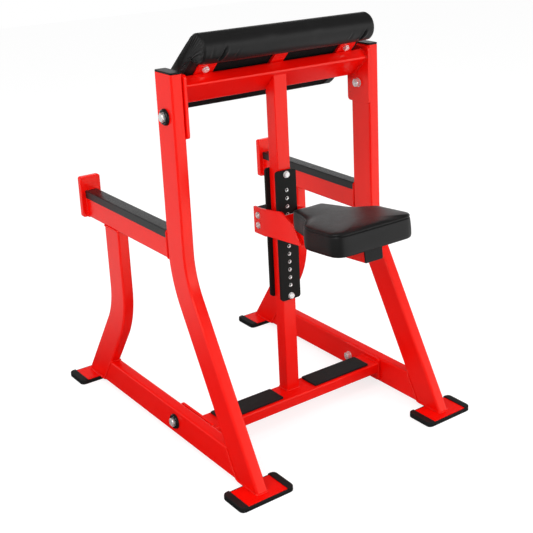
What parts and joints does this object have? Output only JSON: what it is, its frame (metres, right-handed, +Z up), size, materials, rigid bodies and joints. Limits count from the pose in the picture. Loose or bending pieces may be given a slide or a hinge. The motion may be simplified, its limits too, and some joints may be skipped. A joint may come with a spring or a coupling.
{
  "type": "preacher bench",
  "caption": "Preacher curl bench: bolted flat tube frame, sloping arm pad, bar rack arms with stops, and a seat on a pin-locked sliding carriage.",
  "frame": {"origin": "on the floor, under the middle of the bench's bounding box", "axes": "+X is the sitter's left to right, +Y is the way the sitter faces, +Z is up"},
  "size_m": [0.851, 1.148, 1.2347],
  "materials": {
    "frame_paint": "glossy red powder coat",
    "black_vinyl": "black vinyl with a fine grain",
    "covered_board": "plywood under a stapled black cover",
    "black_rubber": "matte black rubber",
    "black_plastic": "satin black plastic",
    "slider_plastic": "satin black nylon",
    "grey_nylon": "natural grey nylon",
    "black_coating": "matte black coating",
    "bright_zinc": "bright zinc plating"
  },
  "bodies": {
    "frame": {"front_upright_left": "frame_paint", "front_upright_right": "frame_paint", "rear_leg_left": "frame_paint", "rear_leg_right": "frame_paint", "base_rail_left": "frame_paint", "base_rail_right": "frame_paint", "rack_arm_left": "frame_paint", "rack_arm_right": "frame_paint", "rack_stop_left": "frame_paint", "rack_stop_right": "frame_paint", "front_foot_plate_left": "frame_paint", "front_foot_plate_right": "frame_paint", "rear_foot_plate_left": "frame_paint", "rear_foot_plate_right": "frame_paint", "top_crossbeam": "frame_paint", "bottom_cross_rail": "frame_paint", "top_end_plate_left": "frame_paint", "top_end_plate_right": "frame_paint", "bottom_end_plate_left": "frame_paint", "bottom_end_plate_right": "frame_paint", "center_post": "frame_paint", "arm_pad_cushion": "black_vinyl", "arm_pad_board": "covered_board", "front_foot_shoe_left": "black_rubber", "front_foot_shoe_right": "black_rubber", "rear_foot_shoe_left": "black_rubber", "rear_foot_shoe_right": "black_rubber", "foot_tread_left": "black_rubber", "foot_tread_right": "black_rubber", "rack_liner_left": "black_plastic", "rack_liner_right": "black_plastic", "upright_cap_left": "black_plastic", "upright_cap_right": "black_plastic", "front_guide_plate": "black_coating", "rear_guide_plate": "black_coating", "frame_bolt_top_left": "bright_zinc", "frame_bolt_top_right": "bright_zinc", "frame_bolt_bottom_left": "bright_zinc", "frame_bolt_bottom_right": "bright_zinc", "guide_bolt_lower": "bright_zinc", "guide_bolt_upper": "bright_zinc", "pad_bolt_left": "bright_zinc", "pad_bolt_right": "bright_zinc"},
    "seat_carriage": {"carriage_side_left": "frame_paint", "carriage_side_right": "frame_paint", "carriage_front_plate": "frame_paint", "carriage_cross_plate": "frame_paint", "rear_slider_block": "slider_plastic", "front_slide_pad": "grey_nylon", "rear_slide_pad": "grey_nylon", "seat_support_tube": "frame_paint", "seat_tube_cap": "black_plastic", "seat_cushion": "black_vinyl", "seat_board": "covered_board", "pin_housing": "bright_zinc", "tab_bolt_lower": "bright_zinc", "tab_bolt_upper": "bright_zinc"},
    "pull_pin": {"pull_pin": "bright_zinc", "pin_knob": "black_plastic"}
  },
  "joints": [
    {"name": "seat_height", "type": "slide", "parent": "frame", "child": "seat_carriage", "axis": [0, 0, 1], "range_m": [-0.15, 0.1]},
    {"name": "pin_slide", "type": "slide", "parent": "seat_carriage", "child": "pull_pin", "axis": [0, 1, 0], "range_m": [0, 0.009]}
  ]
}
